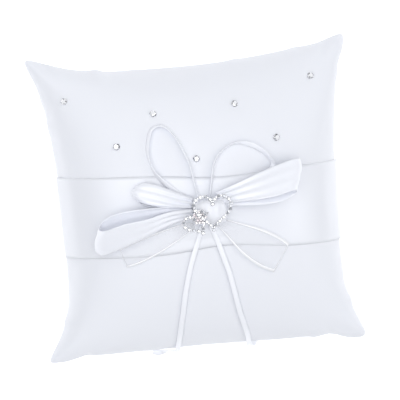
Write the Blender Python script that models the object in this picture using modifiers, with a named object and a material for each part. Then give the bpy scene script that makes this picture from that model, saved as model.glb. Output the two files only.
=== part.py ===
"""Ring bearer pillow: a turned satin cover on a fibre filling, with a sash, a bow and a brooch.

It lies on its back panel. +Z comes out of the front panel, +Y runs to the cover's top edge.
The origin is on the rest plane, under the middle. Lengths are in metres; a path's stations in millimetres.
"""

import math

import bmesh
import bpy
import numpy as np
from mathutils import Matrix, Vector

MM = 0.001

# Cover: corner to corner, and the crown on each side
HALF_WIDTH = 0.099
HALF_LENGTH = 0.094
FRONT_RISE = 0.040
BACK_DROP = 0.036
# Each side's pull: how deep, the power its curve falls off by, how much deeper it is towards the bottom or
# the left, and how far it stands out at its lower or right corner
LEFT_PULL = (0.0130, 3.0, 0.25, 0.0)
RIGHT_PULL = (0.0105, 2.4, 0.20, 0.0)
TOP_PULL = (0.0115, 2.2, 0.25, 0.0)
BOTTOM_PULL = (0.0035, 1.2, 0.0, 0.0022)
BACK_FULLNESS = 1.15
PANEL_THICKNESS = 0.0006
SEAM_GAP = 0.001
SEAM_ALLOWANCE = 0.006
THREAD_RADIUS = 0.0002
THREAD_INSET = 0.0012
PANEL_SEGMENTS = 14

# Filling
FILLING_INSET = 0.008
FILLING_GAP = 0.001

# Sash
SASH_WIDTH = 0.050
SASH_CENTRE_Y = -0.0055
SASH_THICKNESS = 0.0004
SASH_REACH = 0.995
TOUCH = 0.0003

# Bow: knot size and middle, and the ribbons it gathers
KNOT_SIZE = (0.014, 0.016, 0.0084)
KNOT_Y = -0.004
KNOT_BEVEL = 0.003
SATIN_THICKNESS = 0.0003
NARROW_HALF_WIDTH = 0.0016
ON_SASH = SASH_THICKNESS + 2 * TOUCH
LOOP_CLEARANCE = 0.001

# Brooch and stones
BROOCH_BACK_SIZE = (0.011, 0.008, 0.0010)
LARGE_HEART_WIDTH = 0.0225
SMALL_HEART_WIDTH = 0.0145
LARGE_WIRE_RADIUS = 0.0007
SMALL_WIRE_RADIUS = 0.0006
LARGE_HEART_MIDDLE = (0.0030, -0.0037)
SMALL_HEART_MIDDLE = (-0.0068, -0.0098)
LARGE_HEART_LEAN = math.radians(-2)
SMALL_HEART_LEAN = math.radians(28)
HEART_STONE_RADIUS = 0.00110
HEART_STONE_HEIGHT = 0.0010
LARGE_HEART_STONES = 22
SMALL_HEART_STONES = 16
RHINESTONE_RADIUS = 0.0022
RHINESTONE_HEIGHT = 0.0016
STONE_SIDES = 8
TABLE_SHARE = 0.55
STONE_SEAT = 0.0004
CROSSING_CLEAR = 0.0022
HEART_UNITS = 32
HEART_POINTS = 40
# Each rhinestone's place on the front panel, as shares of the way from the middle to the side and top seams
RHINESTONE_PLACES = (
    (-0.84, 0.76), (-0.56, 0.46), (-0.28, 0.69), (-0.03, 0.34), (0.26, 0.70), (0.53, 0.42), (0.78, 0.79),
)

SEAM_LEVEL = BACK_DROP + SEAM_GAP / 2
INVERSE_STEPS = 30
POINTS_PER_SPAN = 3
SLOPE_STEP = 1e-3

# Ribbon stations in millimetres: x, y, lift above the front panel, half width, lean (0 flat, 90 on edge).
# They are drawn round a knot of these half sizes, and move out or in with its sides
DRAWN_KNOT = (7.0, 8.0)
EAR_LEFT = (
    (-3.2, 4.6, 3.4, 1.6, 90), (-5.1, 12.8, 3.2, 1.6, 90), (-7.0, 25.0, 2.6, 1.6, 90),
    (-10.4, 34.3, 2.3, 1.6, 90),
    (-14.4, 42.4, 2.3, 1.6, 80), (-19.1, 48.3, 2.3, 1.6, 70), (-24.0, 49.7, 2.3, 1.6, 75),
    (-28.9, 46.6, 2.3, 1.6, 85), (-31.8, 36.0, 2.3, 1.6, 90), (-30.6, 27.0, 2.4, 1.6, 80),
    (-26.5, 19.0, 2.2, 1.6, 50), (-18.0, 10.5, 1.5, 1.6, 10), (-7.6, 2.6, 1.4, 1.6, 0),
)
EAR_RIGHT = (
    (3.2, 4.6, 3.4, 1.6, 90), (4.9, 12.4, 3.2, 1.6, 90), (6.4, 20.2, 2.7, 1.6, 90),
    (8.4, 25.9, 2.4, 1.6, 90),
    (11.8, 30.3, 2.3, 1.6, 85), (16.8, 33.9, 2.3, 1.6, 75), (23.2, 35.6, 2.2, 1.6, 60),
    (30.4, 34.2, 2.0, 1.6, 30),
    (37.6, 30.0, 2.1, 1.6, 40), (43.0, 24.0, 2.2, 1.6, 60), (43.4, 18.2, 1.4, 1.6, 8),
    (31.0, 9.0, 1.4, 1.6, 0),
    (18.0, 3.6, 1.4, 1.6, 0), (7.6, -1.0, 1.4, 1.6, 0),
)
LOWER_SATIN = (
    (-7.7, -2.8, 5.6, 2.4, 65), (-18.0, -2.4, 7.6, 4.4, 62), (-34.0, -1.4, 10.0, 6.8, 60),
    (-48.0, -2.2, 10.6, 8.2, 56),
    (-58.0, -6.4, 10.6, 8.6, 55), (-62.0, -12.6, 10.6, 8.6, 55), (-60.0, -18.4, 10.6, 8.6, 55),
    (-52.0, -20.0, 10.4, 8.2, 58), (-42.0, -16.4, 9.4, 7.0, 62), (-31.0, -12.4, 8.2, 5.4, 66),
    (-19.0, -9.2, 6.8, 3.8, 70), (-7.7, -8.0, 5.6, 2.4, 70),
)
ORGANZA_LEFT = (
    (-7.6, -11.6, 1.5, 1.8, 0), (-18.0, -15.6, 1.6, 4.4, 0), (-32.0, -21.4, 1.8, 6.4, 0),
    (-43.0, -26.0, 1.6, 6.8, 0),
    (-51.5, -29.0, 1.2, 6.2, 0),
)
ORGANZA_RIGHT = (
    (7.6, -10.4, 1.4, 2.4, 0), (17.0, -17.5, 1.8, 6.0, 0), (27.0, -25.0, 2.2, 9.6, 0),
    (37.0, -32.0, 2.4, 11.0, 0),
    (45.5, -37.6, 1.4, 10.0, 0),
)
# Flat-lying loops: distance from the knot, lift, half width; out along the bottom and back over the top
RIGHT_SATIN = (
    (0.0, 3.0, 3.4), (12.0, 3.2, 6.4), (26.0, 3.0, 8.4), (40.0, 3.0, 10.2), (50.0, 3.6, 10.4),
    (55.5, 5.6, 10.0),
    (57.0, 8.6, 9.8), (54.0, 11.2, 9.8), (42.0, 11.6, 9.6), (27.0, 10.6, 8.2), (13.0, 8.8, 6.0),
    (0.0, 6.6, 3.4),
)
RIGHT_SATIN_START = (7.7, 1.2)
RIGHT_SATIN_HEADING = math.radians(13)
UPPER_SATIN = (
    (0.0, 3.2, 2.0), (10.0, 3.4, 3.6), (22.0, 3.4, 5.8), (32.0, 3.8, 6.4), (36.4, 5.8, 5.4),
    (33.0, 8.0, 5.8),
    (23.0, 8.2, 5.6), (11.0, 7.2, 3.6), (0.0, 6.0, 2.0),
)
UPPER_SATIN_START = (-7.7, 2.6)
UPPER_SATIN_HEADING = math.radians(166)
# Ring ribbons on the front: x, and the share of the way from the knot to the lower seam.
# Then over the seam: x, distance out from it, share of its height above the rest plane, and
# facing (0 up, 90 straight out)
RING_LIFT = 1.3
RING_START = 0.6
RING_LEFT = (
    (-2.6, 0.0), (-5.6, 0.11), (-9.2, 0.23), (-12.4, 0.36), (-15.0, 0.50), (-17.0, 0.65), (-19.0, 0.81),
    (-20.0, 0.92),
)
RING_LEFT_FALL = (
    (-20.8, 0.6, 1.18, 60), (-21.4, 2.2, 0.98, 85), (-22.0, 3.2, 0.69, 90), (-22.6, 4.2, 0.41, 85),
    (-23.6, 5.6, 0.19, 60), (-26.0, 7.2, 0.07, 25), (-29.4, 7.6, 0.04, 0), (-32.6, 6.4, 0.033, 0),
)
RING_RIGHT = (
    (2.6, 0.0), (6.0, 0.12), (9.4, 0.26), (12.4, 0.39), (15.0, 0.54), (17.6, 0.69), (21.0, 0.83),
    (23.2, 0.92),
)
RING_RIGHT_FALL = (
    (24.6, 0.6, 1.18, 60), (26.0, 2.2, 0.98, 85), (27.2, 2.8, 0.69, 90), (28.2, 3.2, 0.41, 85),
    (29.4, 4.2, 0.19, 60), (31.4, 5.8, 0.066, 25), (34.2, 7.0, 0.038, 0),
)


def unit(vectors):
    return vectors / np.linalg.norm(vectors, axis=-1, keepdims=True)


def pull(share, depth, power, lean, corner):
    """How far a side is drawn in at a share of its way along: deep in between, and nothing at its ends."""
    return depth * (1 - np.abs(share) ** power) * (1 - lean * share) - corner * (1 + share) / 2


def side_pull(u, v):
    return np.where(u < 0, pull(v, *LEFT_PULL), pull(v, *RIGHT_PULL))


def end_pull(u, v):
    return np.where(v > 0, pull(u, *TOP_PULL), pull(u, *BOTTOM_PULL))


def outline(u, v):
    """Plan position for shares u and v of the half sizes, with each side pulled in between its corners."""
    return u * (HALF_WIDTH - side_pull(u, v)), v * (HALF_LENGTH - end_pull(u, v))


def shares(x, y):
    """The shares u and v at a plan position: the inverse of outline, by repeated substitution."""
    u, v = x / HALF_WIDTH, y / HALF_LENGTH
    for _ in range(INVERSE_STEPS):
        u, v = (
            np.clip(x / (HALF_WIDTH - side_pull(u, v)), -1, 1),
            np.clip(y / (HALF_LENGTH - end_pull(u, v)), -1, 1),
        )
    return u, v


def crown(u, v):
    """Share of the full rise: 1 in the middle, and 0 on the seam."""
    return np.sqrt(np.clip(1 - u**2, 0, 1) * np.clip(1 - v**2, 0, 1))


def front_point(u, v):
    """A point of the front panel's outer face."""
    x, y = outline(u, v)
    return np.stack([x, y, BACK_DROP + SEAM_GAP / 2 + FRONT_RISE * crown(u, v)], axis=-1)


def back_point(u, v):
    """A point of the back panel's outer face, which is flat where the crown would pass the rest plane."""
    x, y = outline(u, v)
    drop = np.minimum(1, BACK_FULLNESS * crown(u, v))
    return np.stack([x, y, (BACK_DROP - SEAM_GAP / 2) * (1 - drop)], axis=-1)


def upward_normal(point, u, v):
    """Unit normal of a panel, on its upper side, from the slopes on either side of a point."""
    furthest = 1 - 2 * SLOPE_STEP
    u, v = np.clip(u, -furthest, furthest), np.clip(v, -furthest, furthest)
    along = point(u + SLOPE_STEP, v) - point(u - SLOPE_STEP, v)
    across = point(u, v + SLOPE_STEP) - point(u, v - SLOPE_STEP)
    return unit(np.cross(along, across))


def lower_seam(x):
    """The cover's lower edge at a place along its width."""
    return outline(x / HALF_WIDTH, -1.0 + 0 * x)[1]


def face_height(x, y):
    """Height of the front panel's outer face at a plan position."""
    return front_point(*shares(x, y))[..., 2]


def new_material(name, colour, roughness, metallic=0.0):
    material = bpy.data.materials.new(name)
    material.use_nodes = True
    shader = material.node_tree.nodes["Principled BSDF"]
    shader.inputs["Base Color"].default_value = (*colour, 1)
    shader.inputs["Roughness"].default_value = roughness
    shader.inputs["Metallic"].default_value = metallic
    return material


def add_object(name, data, material):
    data.materials.append(material)
    made = bpy.data.objects.new(name, data)
    bpy.data.collections["ring_bearer_pillow"].objects.link(made)
    return made


def mesh_object(name, shape, material, smooth=True):
    mesh = bpy.data.meshes.new(name)
    shape.to_mesh(mesh)
    shape.free()
    if smooth:
        mesh.shade_smooth()
    return add_object(name, mesh, material)


def grid(columns, rows):
    """A flat grid from -1 to 1 both ways, and its vertices' two coordinates."""
    shape = bmesh.new()
    bmesh.ops.create_grid(shape, x_segments=columns, y_segments=rows, size=1)
    flat = np.array([vertex.co[:2] for vertex in shape.verts])
    return shape, flat[:, 0], flat[:, 1]


def place(shape, points):
    for vertex, point in zip(shape.verts, points):
        vertex.co = point


def close_in(step):
    """Even steps from -1 to 1 made shorter towards the seam, where the crown curves most."""
    return np.sin(step * math.pi / 2)


def solidify(made, thickness, offset):
    wall = made.modifiers.new("cloth thickness", "SOLIDIFY")
    wall.thickness = thickness
    wall.offset = offset


def panel(name, point, faces_up, material):
    """Half of the cover: a crowned sheet whose edge is turned in along the seam by the seam allowance."""
    shape, a, b = grid(PANEL_SEGMENTS, PANEL_SEGMENTS)
    u, v = close_in(a), close_in(b)
    place(shape, point(u, v))
    rim = [edge for edge in shape.edges if edge.is_boundary]
    turned = bmesh.ops.extrude_edge_only(shape, edges=rim)["geom"]
    keep = 1 - SEAM_ALLOWANCE / HALF_WIDTH
    for vertex in (item for item in turned if isinstance(item, bmesh.types.BMVert)):
        vertex.co.x *= keep
        vertex.co.y *= keep
    if not faces_up:
        bmesh.ops.reverse_faces(shape, faces=shape.faces[:])
    solidify(mesh_object(name, shape, material), PANEL_THICKNESS, -1)


def filling(material):
    """The fibre form: it follows the inside of both panels and stops short of the turned-in seam."""
    shape, _, _ = grid(PANEL_SEGMENTS, PANEL_SEGMENTS)
    grown = bmesh.ops.extrude_face_region(shape, geom=shape.faces[:])["geom"]
    for vertex in (item for item in grown if isinstance(item, bmesh.types.BMVert)):
        vertex.co.z = -1
    flat = np.array([vertex.co for vertex in shape.verts])
    keep = 1 - FILLING_INSET / HALF_WIDTH
    u, v = close_in(flat[:, 0]) * keep, close_in(flat[:, 1]) * keep
    gap = PANEL_THICKNESS + FILLING_GAP
    upper = front_point(u, v) - upward_normal(front_point, u, v) * gap
    lower = back_point(u, v) + upward_normal(back_point, u, v) * gap
    place(shape, np.where(flat[:, 2:] < 0, lower, upper))
    bmesh.ops.recalc_face_normals(shape, faces=shape.faces[:])
    mesh_object("filling", shape, material)


def seam_thread(material):
    """The row of stitching, as one closed thread between the two turned-in edges."""
    run = close_in(np.linspace(-1, 1, PANEL_SEGMENTS + 1)[:-1])
    one = np.ones_like(run)
    u = np.concatenate([run, one, -run, -one])
    v = np.concatenate([-one, run, one, -run])
    keep = 1 - THREAD_INSET / HALF_WIDTH
    x, y = outline(u, v)
    curve = bpy.data.curves.new("seam_thread", "CURVE")
    curve.dimensions = "3D"
    curve.bevel_depth = THREAD_RADIUS
    curve.bevel_resolution = 1
    line = curve.splines.new("POLY")
    line.points.add(len(x) - 1)
    for point, px, py in zip(line.points, x * keep, y * keep):
        point.co = (px, py, BACK_DROP, 1)
    line.use_cyclic_u = True
    add_object("seam_thread", curve, material)


def sash(material):
    """The band across the front panel, laid on it and cut off just above the side seams."""
    shape, a, b = grid(PANEL_SEGMENTS, 4)
    u = close_in(a) * SASH_REACH
    y = SASH_CENTRE_Y + b * SASH_WIDTH / 2
    end = end_pull(u, y)
    v = y / (HALF_LENGTH - end)
    place(shape, front_point(u, v) + upward_normal(front_point, u, v) * (TOUCH + SASH_THICKNESS))
    solidify(mesh_object("sash", shape, material), SASH_THICKNESS, -1)


def smooth_path(stations):
    """Points on the Catmull-Rom curve through the stations, with the same number on each span."""
    known = np.array(stations, float)
    padded = np.vstack([2 * known[0] - known[1], known, 2 * known[-1] - known[-2]])
    at = np.linspace(0, len(known) - 1, POINTS_PER_SPAN * (len(known) - 1) + 1)
    span = np.minimum(at.astype(int), len(known) - 2)
    t = (at - span)[:, None]
    before, start, stop, after = (padded[span + k] for k in range(4))
    return 0.5 * (
        2 * start + (stop - before) * t + (2 * before - 5 * start + 4 * stop - after) * t**2
        + (3 * start - before - 3 * stop + after) * t**3
    )


def strip(name, centre, across, half_width, rows, material, clearance=None):
    """A ribbon: a sheet along a path, as wide as stated at each point, kept clear of the face if asked."""
    columns = len(centre) - 1
    shape, a, b = grid(columns, rows)
    at = np.rint((a + 1) / 2 * columns).astype(int)
    points = centre[at] + across[at] * (half_width[at] * b)[:, None]
    if clearance is not None:
        points[:, 2] = np.maximum(points[:, 2], face_height(points[:, 0], points[:, 1]) + clearance)
    place(shape, points)
    solidify(mesh_object(name, shape, material), SATIN_THICKNESS, 0)


def round_knot(x, y):
    """Plan position of a station given in millimetres, moved by as much as the knot's sides have moved."""
    move_x = np.sign(x) * np.clip(np.abs(x) / DRAWN_KNOT[0], 0, 1) * (KNOT_SIZE[0] / 2 - DRAWN_KNOT[0] * MM)
    from_middle = y - KNOT_Y / MM
    share_y = np.clip(np.abs(from_middle) / DRAWN_KNOT[1], 0, 1)
    move_y = np.sign(from_middle) * share_y * (KNOT_SIZE[1] / 2 - DRAWN_KNOT[1] * MM)
    return x * MM + move_x, y * MM + move_y


def laid_ribbon(name, stations, rows, material, clearance=ON_SASH):
    """A ribbon whose path runs over the front panel, leaning about its middle line as its stations say."""
    x, y, lift, half_width, lean = smooth_path(stations).T
    x, y = round_knot(x, y)
    lift, half_width, lean = lift * MM, half_width * MM, np.radians(lean)
    centre = np.stack([x, y, face_height(x, y) + lift], axis=-1)
    ahead = np.gradient(centre, axis=0)
    side = unit(np.stack([-ahead[:, 1], ahead[:, 0], 0 * x], axis=-1))
    across = side * np.cos(lean)[:, None] + np.array([0, 0, 1]) * np.sin(lean)[:, None]
    strip(name, centre, across, half_width, rows, material, clearance)


def loop_ribbon(name, stations, start, heading, material):
    """A flat-lying loop: its path goes out from the knot, turns up and comes back above itself."""
    reach, lift, half_width = smooth_path(stations).T
    x, y = round_knot(start[0] + reach * math.cos(heading), start[1] + reach * math.sin(heading))
    lift, half_width = lift * MM, half_width * MM
    centre = np.stack([x, y, face_height(x, y) + lift], axis=-1)
    across = np.tile([-math.sin(heading), math.cos(heading), 0.0], (len(x), 1))
    strip(name, centre, across, half_width, 2, material, ON_SASH + LOOP_CLEARANCE)


def ring_ribbon(name, stations, fall, material):
    """A narrow ribbon over the sash and the face, over the lower seam and down to the rest plane."""
    start_y = KNOT_Y - KNOT_SIZE[1] / 2 - RING_START * MM
    x, share = np.array(stations).T
    x = x * MM
    y = start_y + share * (lower_seam(x) - start_y)
    on_face = np.stack([x, y, face_height(x, y) + RING_LIFT * MM, 0 * x], axis=-1)
    x, out, share, facing = np.array(fall).T
    x = x * MM
    hanging = np.stack([x, lower_seam(x) - out * MM, share * SEAM_LEVEL, np.radians(facing)], axis=-1)
    path = smooth_path(np.vstack([on_face, hanging]))
    outward = np.stack([0 * path[:, 3], -np.sin(path[:, 3]), np.cos(path[:, 3])], axis=-1)
    across = unit(np.cross(outward, np.gradient(path[:, :3], axis=0)))
    strip(name, path[:, :3], across, np.full(len(path), NARROW_HALF_WIDTH), 1, material)


def rounded_block(name, size, middle, bevel, material):
    shape = bmesh.new()
    bmesh.ops.create_cube(shape, size=1, matrix=Matrix.Diagonal((*size, 1)))
    block = mesh_object(name, shape, material)
    block.location = middle
    rounding = block.modifiers.new("rounding", "BEVEL")
    rounding.width = bevel
    rounding.segments = 3
    return block


def heart_point(turn, width, middle, lean, height):
    """A point on a heart outline: sixteen sines cubed across, and a sum of cosines up, turned by its lean."""
    x = 16 * np.sin(turn) ** 3
    y = 13 * np.cos(turn) - 5 * np.cos(2 * turn) - 2 * np.cos(3 * turn) - np.cos(4 * turn) + 2.5
    x, y = x * width / HEART_UNITS, y * width / HEART_UNITS
    return np.stack([
        middle[0] + x * math.cos(lean) - y * math.sin(lean),
        middle[1] + x * math.sin(lean) + y * math.cos(lean),
        height + 0 * x,
    ], axis=-1)


def heart_frame(name, width, middle, lean, height, radius, material):
    """An open heart of round wire."""
    curve = bpy.data.curves.new(name, "CURVE")
    curve.dimensions = "3D"
    curve.bevel_depth = radius
    curve.bevel_resolution = 1
    line = curve.splines.new("POLY")
    turns = np.linspace(0, 2 * math.pi, HEART_POINTS, endpoint=False)
    line.points.add(HEART_POINTS - 1)
    for point, place_at in zip(line.points, heart_point(turns, width, middle, lean, height)):
        point.co = (*place_at, 1)
    line.use_cyclic_u = True
    add_object(name, curve, material)


def even_turns(count, width):
    """The outline's turns at which stones sit evenly along it, the first one in the cleft."""
    fine = np.linspace(0, 2 * math.pi, 721)
    line = heart_point(fine, width, (0, 0), 0, 0)
    run = np.concatenate([[0], np.cumsum(np.linalg.norm(np.diff(line, axis=0), axis=1))])
    return np.interp(np.arange(count) / count * run[-1], run, fine)


def stone_mesh(name, radius, height):
    """A round stone: a flat table, a crown of eight facets and a short straight girdle."""
    shape = bmesh.new()
    bmesh.ops.create_cone(
        shape, cap_ends=True, segments=STONE_SIDES, radius1=radius, radius2=radius * TABLE_SHARE,
        depth=height, matrix=Matrix.Translation((0, 0, height / 2)),
    )
    mesh = bpy.data.meshes.new(name)
    shape.to_mesh(mesh)
    shape.free()
    return mesh


def set_stone(name, mesh, foot, up, material):
    made = bpy.data.objects.new(name, mesh.copy())
    made.data.materials.append(material)
    made.location = foot
    made.rotation_euler = Vector(up).to_track_quat("Z", "Y").to_euler()
    bpy.data.collections["ring_bearer_pillow"].objects.link(made)


def rhinestones(material):
    mesh = stone_mesh("rhinestone", RHINESTONE_RADIUS, RHINESTONE_HEIGHT)
    for number, (u, v) in enumerate(RHINESTONE_PLACES, start=1):
        up = upward_normal(front_point, u, v)
        set_stone(f"rhinestone_{number}", mesh, front_point(u, v) + up * STONE_SEAT, up, material)
    bpy.data.meshes.remove(mesh)


def heart_stones(name, count, width, middle, lean, seat, other, material):
    """Stones along a heart's wire, leaving out those that would lie under the other heart's wire."""
    mesh = stone_mesh(name, HEART_STONE_RADIUS, HEART_STONE_HEIGHT)
    number = 0
    for point in heart_point(even_turns(count, width), width, middle, lean, seat):
        if other is not None and np.linalg.norm(other[:, :2] - point[:2], axis=1).min() < CROSSING_CLEAR:
            continue
        number += 1
        set_stone(f"{name}_{number:02d}", mesh, point, (0, 0, 1), material)
    bpy.data.meshes.remove(mesh)


def brooch(seat, metal, crystal):
    """Two linked open hearts with their stones, on a small plate stitched to the knot."""
    plate = seat + TOUCH + BROOCH_BACK_SIZE[2] / 2
    rounded_block("brooch_back", BROOCH_BACK_SIZE, (0, KNOT_Y, plate), BROOCH_BACK_SIZE[2] / 4, metal)
    small = plate + BROOCH_BACK_SIZE[2] / 2 + TOUCH + SMALL_WIRE_RADIUS
    large = small + SMALL_WIRE_RADIUS + TOUCH + LARGE_WIRE_RADIUS
    small_shape = (SMALL_HEART_WIDTH, SMALL_HEART_MIDDLE, SMALL_HEART_LEAN)
    large_shape = (LARGE_HEART_WIDTH, LARGE_HEART_MIDDLE, LARGE_HEART_LEAN)
    heart_frame("heart_frame_small", *small_shape, small, SMALL_WIRE_RADIUS, metal)
    heart_frame("heart_frame_large", *large_shape, large, LARGE_WIRE_RADIUS, metal)
    wire = heart_point(np.linspace(0, 2 * math.pi, 400), *large_shape, large)
    seat = small + SMALL_WIRE_RADIUS + TOUCH
    heart_stones("small_heart_stone", SMALL_HEART_STONES, *small_shape, seat, wire, crystal)
    seat = large + LARGE_WIRE_RADIUS + TOUCH
    heart_stones("large_heart_stone", LARGE_HEART_STONES, *large_shape, seat, None, crystal)


def clear_scene():
    for old in list(bpy.data.objects):
        bpy.data.objects.remove(old, do_unlink=True)


def main():
    clear_scene()
    bpy.context.scene.collection.children.link(bpy.data.collections.new("ring_bearer_pillow"))
    cover = new_material("white cover satin", (0.86, 0.88, 0.93), 0.55)
    fibre = new_material("polyester fibre", (0.90, 0.90, 0.90), 0.95)
    thread = new_material("polyester thread", (0.88, 0.89, 0.92), 0.6)
    satin = new_material("white ribbon satin", (0.90, 0.92, 0.96), 0.35)
    organza = new_material("white organza", (0.88, 0.90, 0.95), 0.5)
    metal = new_material("polished rhodium plate", (0.80, 0.80, 0.82), 0.15, 1.0)
    crystal = new_material("clear crystal", (0.92, 0.94, 0.96), 0.05)

    filling(fibre)
    panel("back_panel", back_point, False, cover)
    panel("front_panel", front_point, True, cover)
    seam_thread(thread)
    sash(satin)
    knot_z = float(face_height(0.0, KNOT_Y)) + SASH_THICKNESS + 2 * TOUCH + KNOT_SIZE[2] / 2
    rounded_block("bow_knot", KNOT_SIZE, (0, KNOT_Y, knot_z), KNOT_BEVEL, satin)
    laid_ribbon("organza_tail_left", ORGANZA_LEFT, 2, organza)
    laid_ribbon("organza_tail_right", ORGANZA_RIGHT, 2, organza)
    laid_ribbon("satin_loop_lower_left", LOWER_SATIN, 2, satin, ON_SASH + 2 * LOOP_CLEARANCE)
    loop_ribbon("satin_loop_upper_left", UPPER_SATIN, UPPER_SATIN_START, UPPER_SATIN_HEADING, satin)
    loop_ribbon("satin_loop_right", RIGHT_SATIN, RIGHT_SATIN_START, RIGHT_SATIN_HEADING, satin)
    laid_ribbon("ribbon_ear_left", EAR_LEFT, 1, satin)
    laid_ribbon("ribbon_ear_right", EAR_RIGHT, 1, satin)
    ring_ribbon("ring_ribbon_left", RING_LEFT, RING_LEFT_FALL, satin)
    ring_ribbon("ring_ribbon_right", RING_RIGHT, RING_RIGHT_FALL, satin)
    rhinestones(crystal)
    brooch(knot_z + KNOT_SIZE[2] / 2, metal, crystal)


main()
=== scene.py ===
"""Ring bearer pillow: a white satin cover with a sash, a ribbon bow and a linked-heart brooch."""

import math

import bpy
import numpy as np
from mathutils import Matrix, Vector


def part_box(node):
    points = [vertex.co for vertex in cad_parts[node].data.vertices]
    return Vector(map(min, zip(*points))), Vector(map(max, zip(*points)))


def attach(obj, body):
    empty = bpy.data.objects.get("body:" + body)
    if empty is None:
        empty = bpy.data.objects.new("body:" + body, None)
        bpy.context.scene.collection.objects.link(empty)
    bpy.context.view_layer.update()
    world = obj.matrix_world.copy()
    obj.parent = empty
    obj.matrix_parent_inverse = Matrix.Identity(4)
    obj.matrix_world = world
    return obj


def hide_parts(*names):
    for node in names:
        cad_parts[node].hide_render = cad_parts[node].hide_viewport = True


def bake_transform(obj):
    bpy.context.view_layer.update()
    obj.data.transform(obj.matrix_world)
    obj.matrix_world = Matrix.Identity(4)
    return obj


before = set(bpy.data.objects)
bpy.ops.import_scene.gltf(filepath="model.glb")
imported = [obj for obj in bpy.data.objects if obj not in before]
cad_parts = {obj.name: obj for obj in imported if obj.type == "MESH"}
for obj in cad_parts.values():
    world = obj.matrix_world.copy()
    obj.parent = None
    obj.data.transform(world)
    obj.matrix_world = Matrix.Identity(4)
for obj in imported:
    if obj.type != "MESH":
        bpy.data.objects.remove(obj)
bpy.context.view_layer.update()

MM = 0.001

# Cover: half sizes to the corners and the crown on each side, as the part has them. The left and right sides
# are drawn in as the part's are, and the top and bottom a little less.
HALF_WIDTH = 0.099
HALF_LENGTH = 0.094
FRONT_RISE = 0.040
BACK_DROP = 0.036
SEAM_LEVEL = 0.0363
BACK_FULLNESS = 1.15
# Each side's pull: how deep, the power its curve falls off by, how much deeper it is towards the bottom or
# the left, and how far it stands out at its lower or right corner
LEFT_PULL = (0.0130, 3.0, 0.25, 0.0)
RIGHT_PULL = (0.0105, 2.4, 0.20, 0.0)
TOP_PULL = (0.0100, 2.2, 0.25, 0.0)
BOTTOM_PULL = (0.0024, 1.2, 0.0, 0.0022)

# ------------------------------------------------------------------ camera


def place_camera():
    """A long lens from above, tilted a little towards the left side and the top edge, and rolled."""
    lens = bpy.data.cameras.new("camera")
    lens.sensor_width = 36
    lens.lens = 203.3
    lens.clip_start = 0.1
    lens.clip_end = 20
    camera = bpy.data.objects.new("camera", lens)
    bpy.context.scene.collection.objects.link(camera)
    across = Vector((0.9905, -0.0788, 0.1130)).normalized()
    back = Vector((-0.1045, 0.1045, 0.9890)).normalized()
    upward = back.cross(across).normalized()
    turn = Matrix((upward.cross(back), upward, back)).transposed().to_4x4()
    camera.matrix_world = Matrix.Translation((-0.1457, 0.1463, 1.4306)) @ turn
    bpy.context.scene.camera = camera


place_camera()

# ------------------------------------------------------------------ materials


def colour(code):
    """Linear RGBA of an sRGB hex value."""
    parts = [int(code[k:k + 2], 16) / 255 for k in (1, 3, 5)]
    return [p / 12.92 if p <= 0.04045 else ((p + 0.055) / 1.055) ** 2.4 for p in parts] + [1.0]


def add(material, kind, settings=None, **links):
    """A node of this kind with its settings and its inputs, each a value or another node's output."""
    node = material.node_tree.nodes.new(kind)
    for name, value in (settings or {}).items():
        setattr(node, name, value)
    for name, value in links.items():
        socket = node.inputs[name.replace("_", " ")]
        if isinstance(value, bpy.types.NodeSocket):
            material.node_tree.links.new(value, socket)
        else:
            socket.default_value = value
    return node


def new_material(name, **values):
    """A material of one Principled shader with these values on its own sockets."""
    material = bpy.data.materials.new(name)
    material.use_nodes = True
    material.node_tree.nodes.clear()
    shader = add(material, "ShaderNodeBsdfPrincipled")
    for key, value in values.items():
        shader.inputs[key.replace("_", " ")].default_value = value
    add(material, "ShaderNodeOutputMaterial", Surface=shader.outputs[0])
    return material, shader


def satin(name, base, roughness, pearl, through_light, thread, height):
    """Woven satin: long floats along the cloth stretch each highlight, and thin cloth glows through."""
    material, shader = new_material(
        name, Base_Color=colour(base), Roughness=roughness, Metallic=pearl, Specular_IOR_Level=0.5,
        Anisotropic=0.6, Anisotropic_Rotation=0.25, Sheen_Weight=0.1, Sheen_Roughness=0.5,
        Subsurface_Weight=through_light, Subsurface_Radius=(1, 1, 1), Subsurface_Scale=0.002,
    )
    place = add(material, "ShaderNodeTexCoord")
    run = add(material, "ShaderNodeMapping", Vector=place.outputs["UV"])
    run.inputs["Scale"].default_value = (1 / thread / 8, 1 / thread, 1)
    weave = add(material, "ShaderNodeTexNoise", Vector=run.outputs[0], Scale=1.0, Detail=2.0)
    bump = add(material, "ShaderNodeBump", Height=weave.outputs[0], Strength=1.0, Distance=height)
    material.node_tree.links.new(bump.outputs[0], shader.inputs["Normal"])
    tangent = add(material, "ShaderNodeTangent", {"direction_type": "UV_MAP", "uv_map": "weave"})
    material.node_tree.links.new(tangent.outputs[0], shader.inputs["Tangent"])
    return material


cover_satin = satin("polyester_satin_cover", "#eaecf2", 0.52, 0.05, 0.3, 0.9 * MM, 0.02 * MM)
sash_satin = satin("satin_ribbon_wide", "#ebedf3", 0.38, 0.09, 0.0, 0.5 * MM, 0.01 * MM)

# ------------------------------------------------------------------ surfaces


def grid_faces(index):
    """Four-cornered faces over a table of vertex numbers, anticlockwise seen from above."""
    corners = (index[:-1, :-1], index[1:, :-1], index[1:, 1:], index[:-1, 1:])
    return np.stack(corners, axis=-1).reshape(-1, 4)


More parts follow.
